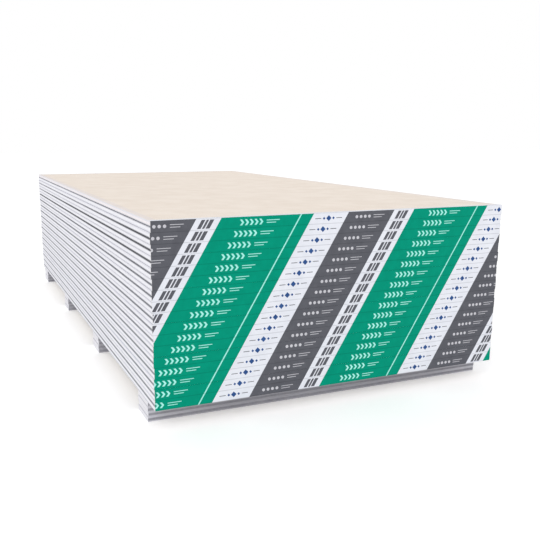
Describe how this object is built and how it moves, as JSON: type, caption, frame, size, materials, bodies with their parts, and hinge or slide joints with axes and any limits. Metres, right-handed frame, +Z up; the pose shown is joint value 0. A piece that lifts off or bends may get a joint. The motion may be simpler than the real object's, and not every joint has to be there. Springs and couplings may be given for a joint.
{
  "type": "stack of drywall sheets",
  "caption": "Stack of tapered-edge drywall sheets, bound in pairs by paper end tapes and raised on strips of board so that forks pass under.",
  "frame": {"origin": "centre of the footprint on the floor, under the risers", "axes": "+Y along the sheets' length, away from the printed end that the picture shows; +X across their width, away from the long side that it shows; +Z up"},
  "size_m": [1.2216, 2.439, 0.6113],
  "materials": {
    "face_paper": "matte",
    "tape_paper": "satin",
    "riser_board": "matte"
  },
  "bodies": {
    "root": {"sheet_01": "face_paper", "sheet_02": "face_paper", "sheet_03": "face_paper", "sheet_04": "face_paper", "sheet_05": "face_paper", "sheet_06": "face_paper", "sheet_07": "face_paper", "sheet_08": "face_paper", "sheet_09": "face_paper", "sheet_10": "face_paper", "sheet_11": "face_paper", "sheet_12": "face_paper", "sheet_13": "face_paper", "sheet_14": "face_paper", "sheet_15": "face_paper", "sheet_16": "face_paper", "sheet_17": "face_paper", "sheet_18": "face_paper", "sheet_19": "face_paper", "sheet_20": "face_paper", "sheet_21": "face_paper", "sheet_22": "face_paper", "sheet_23": "face_paper", "sheet_24": "face_paper", "sheet_25": "face_paper", "sheet_26": "face_paper", "sheet_27": "face_paper", "sheet_28": "face_paper", "sheet_29": "face_paper", "sheet_30": "face_paper", "sheet_31": "face_paper", "sheet_32": "face_paper", "sheet_33": "face_paper", "sheet_34": "face_paper", "end_tapes_01": "tape_paper", "end_tapes_02": "tape_paper", "end_tapes_03": "tape_paper", "end_tapes_04": "tape_paper", "end_tapes_05": "tape_paper", "end_tapes_06": "tape_paper", "end_tapes_07": "tape_paper", "end_tapes_08": "tape_paper", "end_tapes_09": "tape_paper", "end_tapes_10": "tape_paper", "end_tapes_11": "tape_paper", "end_tapes_12": "tape_paper", "end_tapes_13": "tape_paper", "end_tapes_14": "tape_paper", "end_tapes_15": "tape_paper", "end_tapes_16": "tape_paper", "end_tapes_17": "tape_paper", "riser_1": "riser_board", "riser_2": "riser_board", "riser_3": "riser_board", "riser_4": "riser_board"}
  },
  "joints": []
}
